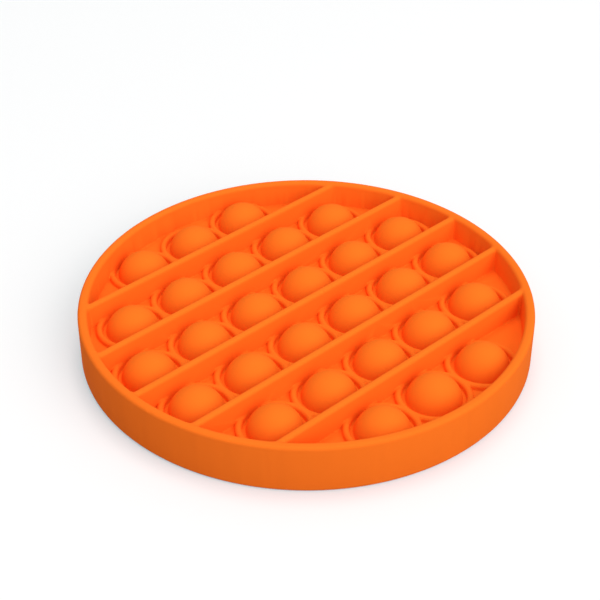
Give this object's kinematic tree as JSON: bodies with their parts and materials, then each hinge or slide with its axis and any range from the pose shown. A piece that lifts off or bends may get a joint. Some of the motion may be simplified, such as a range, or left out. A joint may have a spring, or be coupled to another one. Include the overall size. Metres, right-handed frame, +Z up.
{
  "type": "bubble pop fidget toy",
  "caption": "Round one-piece silicone toy with a deep rim, ribs that part it into lanes, and rows of hollow bubbles in raised rings that push through to the other face.",
  "frame": {"origin": "middle of the circle on which the lower edge of the rim rests", "axes": "+X along the ribs and the rows of bubbles, +Y across the lanes, +Z up along the axis of the rim, towards the side on which the bubbles stand out"},
  "size_m": [0.125, 0.125, 0.0142],
  "materials": {
    "silicone": "moulded soft silicone, even orange, satin matt"
  },
  "bodies": {
    "root": {"bubble_moulding": "silicone"}
  },
  "joints": []
}
